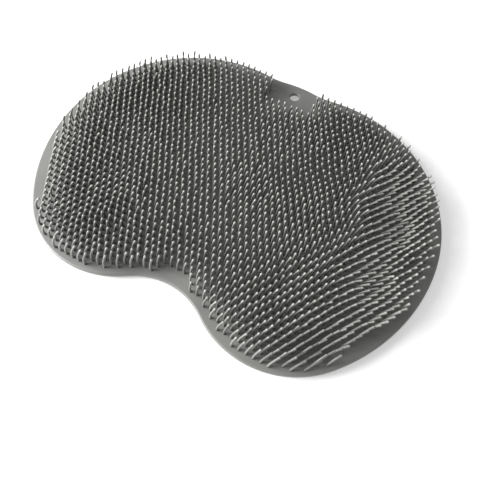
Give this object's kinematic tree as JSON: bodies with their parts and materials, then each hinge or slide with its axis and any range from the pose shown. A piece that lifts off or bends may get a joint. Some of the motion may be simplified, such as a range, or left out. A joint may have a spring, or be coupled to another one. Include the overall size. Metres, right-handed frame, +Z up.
{
  "type": "foot scrubber",
  "caption": "Butterfly-shaped silicone shower mat with a dense field of flexible bristles, a hanging hole and suction cups, for scrubbing feet.",
  "frame": {"origin": "Middle of the bounding box at floor level, under the suction cups' lips.", "axes": "+X along the length of the mat, +Y towards the hanging hole, +Z up out of the floor."},
  "size_m": [0.323, 0.232, 0.0225],
  "materials": {
    "silicone": "satin"
  },
  "bodies": {
    "root": {"mat": "silicone"}
  },
  "joints": []
}
